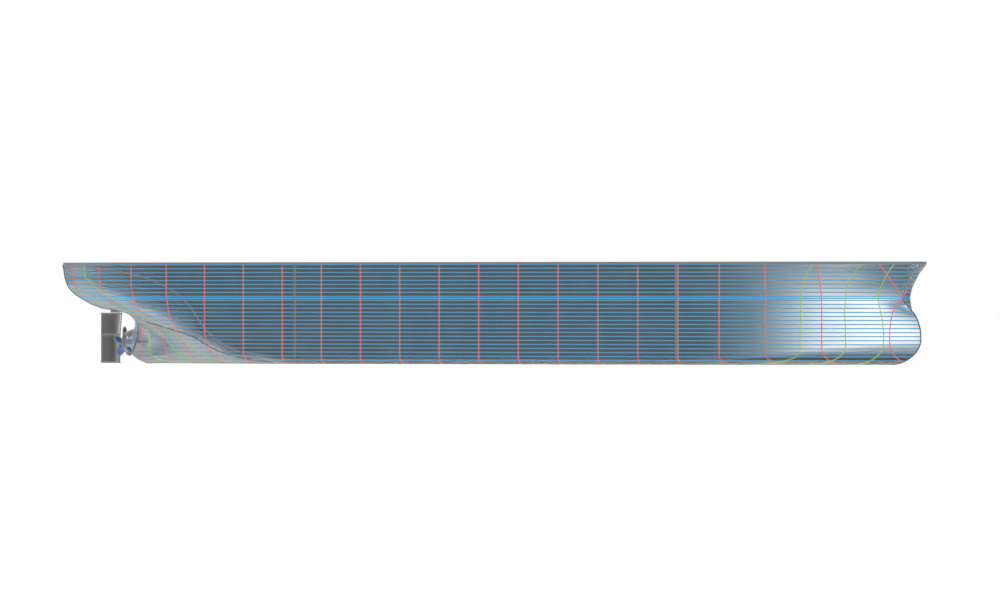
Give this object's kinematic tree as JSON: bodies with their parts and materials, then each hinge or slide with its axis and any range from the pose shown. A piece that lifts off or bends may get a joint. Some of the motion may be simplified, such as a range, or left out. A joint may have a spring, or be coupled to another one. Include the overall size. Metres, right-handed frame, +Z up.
{
  "type": "scale model of a bulk carrier hull at 1:10",
  "caption": "Full-form ship hull with a bulbous bow, flat deck, transom stern, rudder, ducted propeller and painted lines.",
  "frame": {"origin": "amidships on the centreline, at the flat of the keel", "axes": "+X to the bow, +Y to port, +Z up"},
  "size_m": [29.089, 4.5, 2.55],
  "materials": {
    "hull_paint": "satin dark grey, with blue waterlines, pink stations and green buttocks",
    "deck_paint": "satin grey",
    "rudder_paint": "satin grey",
    "blade_paint": "satin blue",
    "bare_steel": "brushed grey"
  },
  "bodies": {
    "hull": {"aft_peak_counter": "hull_paint", "stern_skeg": "hull_paint", "engine_room_block": "hull_paint", "hold_block_9": "hull_paint", "hold_block_8": "hull_paint", "hold_block_7": "hull_paint", "hold_block_6": "hull_paint", "hold_block_5": "hull_paint", "hold_block_4": "hull_paint", "hold_block_3": "hull_paint", "hold_block_2": "hull_paint", "hold_block_1": "hull_paint", "fore_peak": "hull_paint", "bulbous_bow": "hull_paint", "deck_aft": "deck_paint", "deck_midships": "deck_paint", "deck_fore": "deck_paint", "rudder_headbox": "rudder_paint", "duct_ring": "bare_steel"},
    "propeller": {"propeller_hub": "bare_steel", "hub_cap": "bare_steel", "tail_shaft": "bare_steel", "propeller_blade_1": "blade_paint", "propeller_blade_2": "blade_paint", "propeller_blade_3": "blade_paint", "propeller_blade_4": "blade_paint", "propeller_blade_5": "blade_paint"},
    "rudder": {"rudder_stock": "bare_steel", "rudder_blade_upper": "rudder_paint", "rudder_blade_lower": "rudder_paint"}
  },
  "joints": [
    {"name": "propeller_spin", "type": "hinge", "parent": "hull", "child": "propeller", "pos_m": [-13.675, 0, 0.53], "axis": [1, 0, 0], "continuous": true},
    {"name": "rudder_turn", "type": "hinge", "parent": "hull", "child": "rudder", "pos_m": [-14.075, 0, 0.65], "axis": [0, 0, 1], "range_deg": [-35, 35]}
  ]
}
